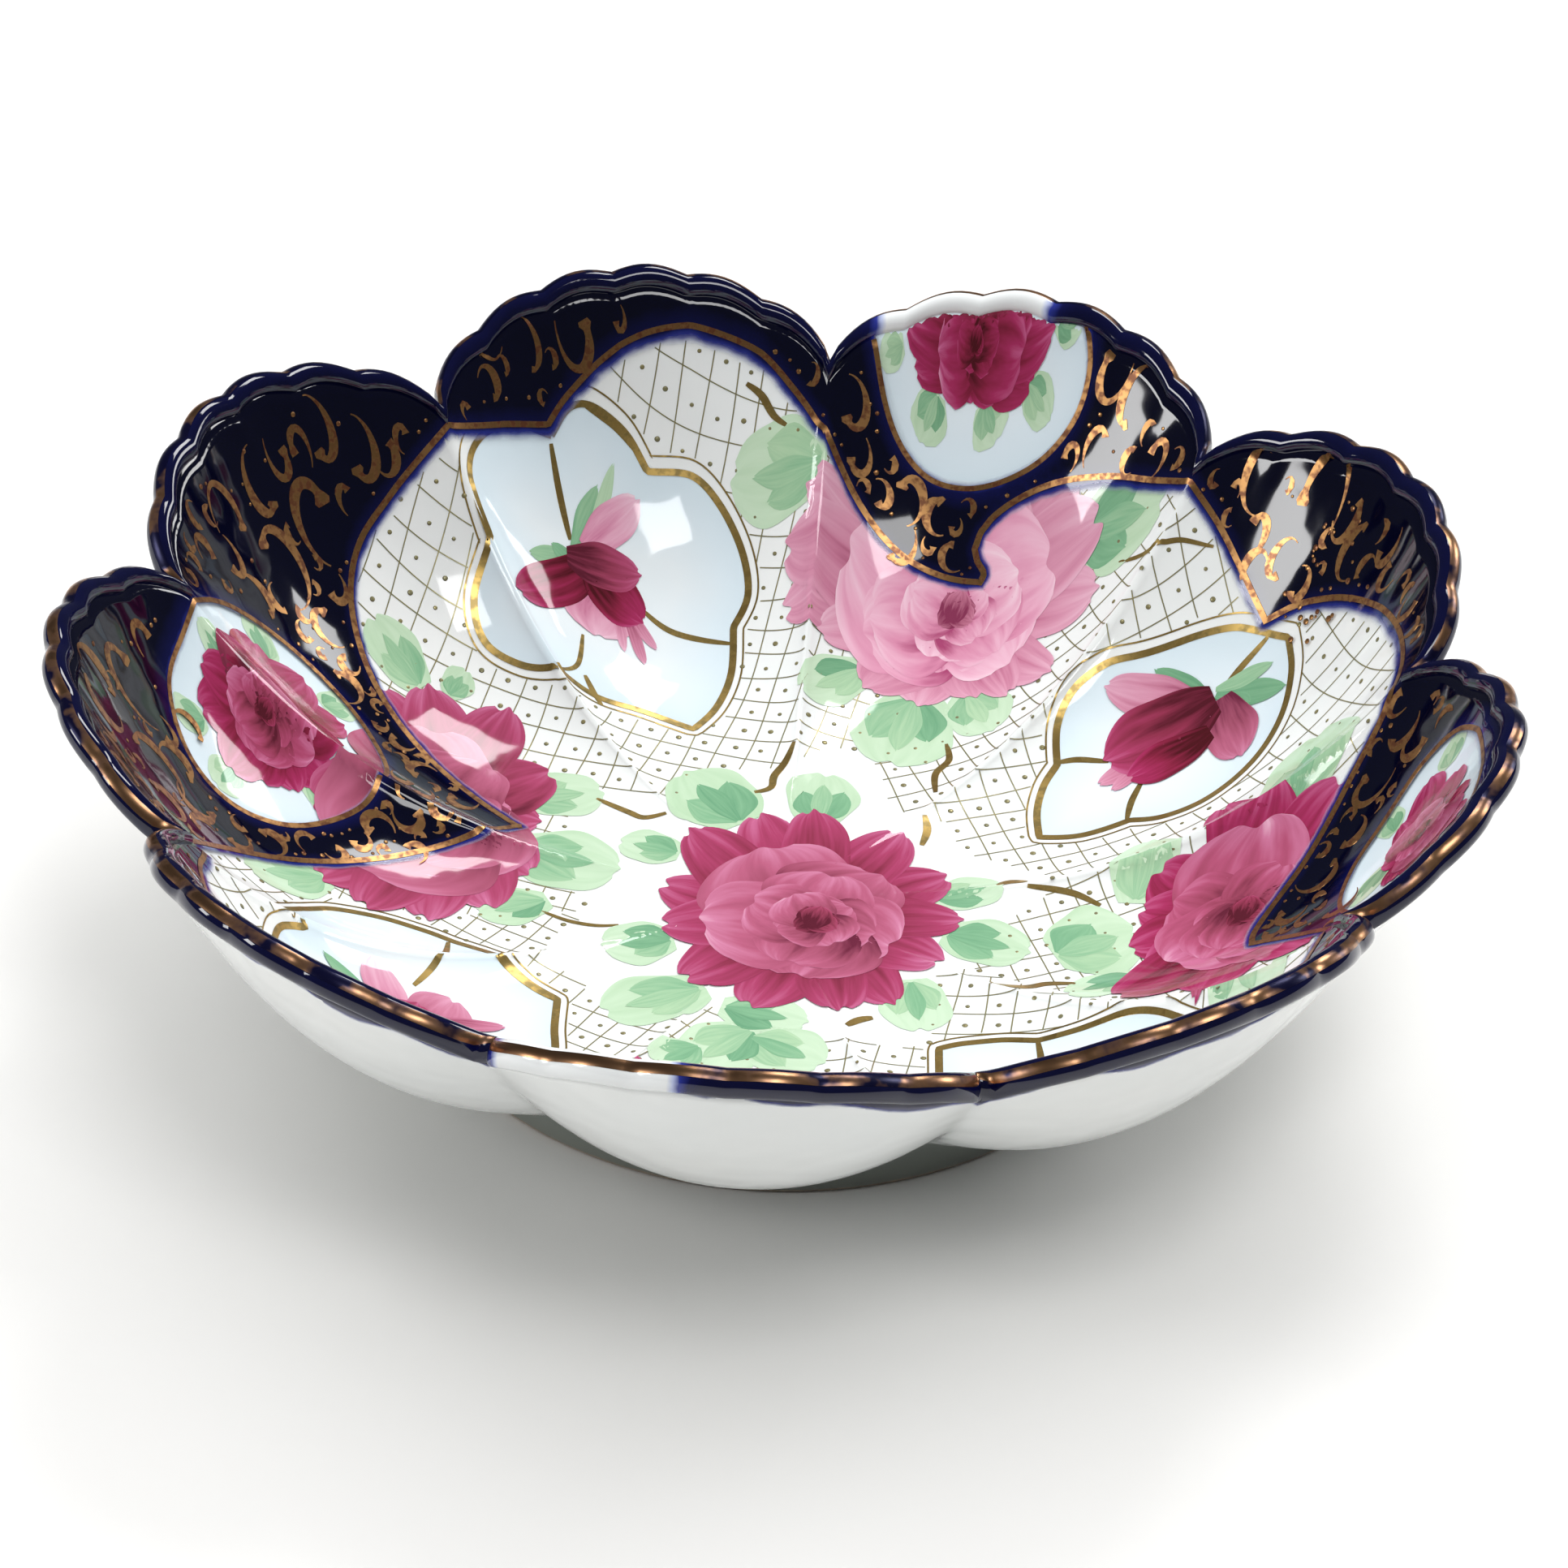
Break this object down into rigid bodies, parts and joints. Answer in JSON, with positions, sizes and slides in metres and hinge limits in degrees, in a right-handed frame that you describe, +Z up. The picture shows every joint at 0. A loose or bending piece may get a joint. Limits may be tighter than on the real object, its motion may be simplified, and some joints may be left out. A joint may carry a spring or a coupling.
{
  "type": "serving bowl",
  "caption": "Shallow round porcelain serving bowl with lobed walls, a ruffled rolled rim, a cobalt and gilt border inside and a turned foot ring.",
  "frame": {"origin": "on the surface the foot stands on, on the bowl's axis", "axes": "+Z up along the bowl's axis; X and Y across the rim"},
  "size_m": [0.2538, 0.2528, 0.0746],
  "materials": {
    "porcelain": "clear gloss glaze over white hard-paste porcelain",
    "foot_porcelain": "gloss glaze with a ground, unglazed bottom edge",
    "cobalt_glaze": "deep cobalt under a thick gloss glaze",
    "gilding": "burnished gilding, rubbed thin on the crests",
    "rose_enamel": "gloss crimson and pink overglaze enamel",
    "leaf_enamel": "gloss pale green overglaze enamel",
    "pale_blue_enamel": "gloss pale blue wash under the glaze"
  },
  "bodies": {
    "root": {"bowl_shell": "porcelain", "foot_ring": "foot_porcelain", "rolled_lip": "cobalt_glaze", "cobalt_border": "cobalt_glaze", "gilt_edge": "gilding"}
  },
  "joints": []
}
